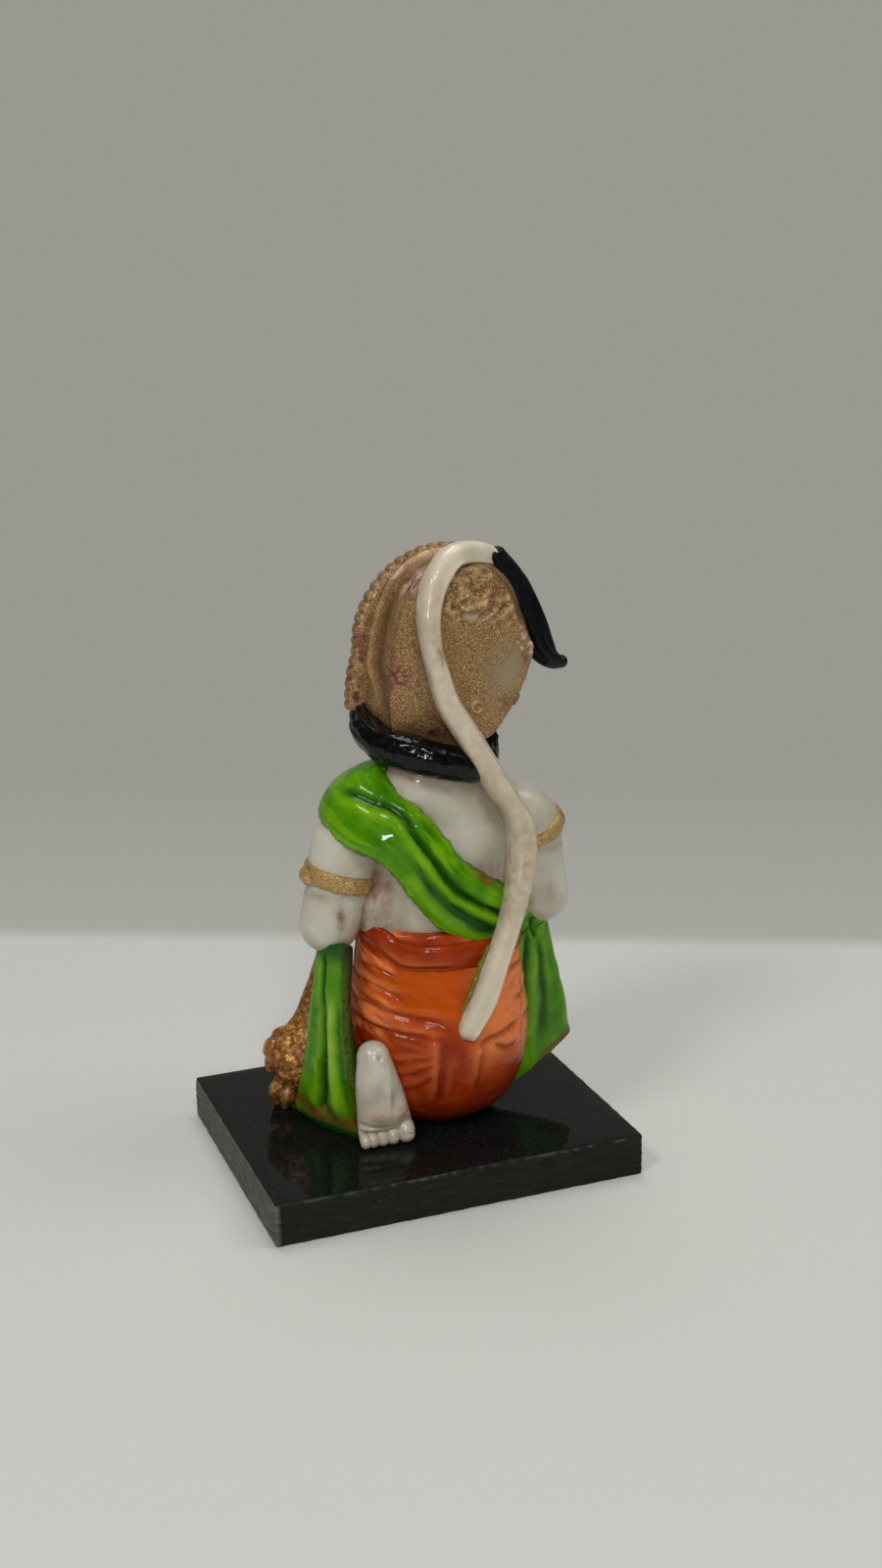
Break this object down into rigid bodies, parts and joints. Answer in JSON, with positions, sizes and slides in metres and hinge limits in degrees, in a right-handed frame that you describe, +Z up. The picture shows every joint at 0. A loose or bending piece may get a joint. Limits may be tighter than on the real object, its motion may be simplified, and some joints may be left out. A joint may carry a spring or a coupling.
{
  "type": "kneeling devotional statuette",
  "caption": "Kneeling figure with folded hands, crown, draped shawl, raised tail and a leaning mace, cast in resin, painted and glued to a polished stone slab.",
  "frame": {"origin": "middle of the slab's flat underside", "axes": "+Z up, the figure faces -Y and its left side is towards +X"},
  "size_m": [0.064, 0.052, 0.1064],
  "materials": {
    "polished_stone": "polished on top, sawn on the sides",
    "resin_glue": "set glue",
    "marble_resin": "white lacquered marble-resin casting",
    "ivory_lacquer": "ivory lacquer",
    "orange_paint": "gloss orange paint",
    "green_paint": "gloss green paint with darker folds",
    "gold_paint": "worn metallic gold paint",
    "black_paint": "gloss black paint"
  },
  "bodies": {
    "root": {"plinth_slab": "polished_stone", "glue_bed": "resin_glue", "dhoti_seat": "orange_paint", "dhoti_waistband": "orange_paint", "left_thigh_kneeling": "orange_paint", "right_thigh_raised": "orange_paint", "right_shin": "marble_resin", "right_foot": "marble_resin", "right_anklet": "gold_paint", "left_foot": "marble_resin", "trunk": "marble_resin", "left_upper_arm": "marble_resin", "left_forearm": "marble_resin", "left_hand": "marble_resin", "left_armlet": "gold_paint", "left_bangle": "gold_paint", "right_upper_arm": "marble_resin", "right_forearm": "marble_resin", "right_hand": "marble_resin", "right_armlet": "gold_paint", "right_bangle": "gold_paint", "shawl_sash": "green_paint", "shawl_left_end": "green_paint", "shawl_right_end": "green_paint", "head": "marble_resin", "crown_rim": "gold_paint", "crown_drum": "gold_paint", "crown_crest": "gold_paint", "crown_brow_band": "gold_paint", "hair_roll": "black_paint", "left_ear": "marble_resin", "left_earring": "gold_paint", "right_ear": "marble_resin", "right_earring": "gold_paint", "tail": "ivory_lacquer", "tail_tuft": "black_paint", "mace_finial": "gold_paint", "mace_head": "gold_paint", "mace_shaft": "gold_paint"}
  },
  "joints": []
}
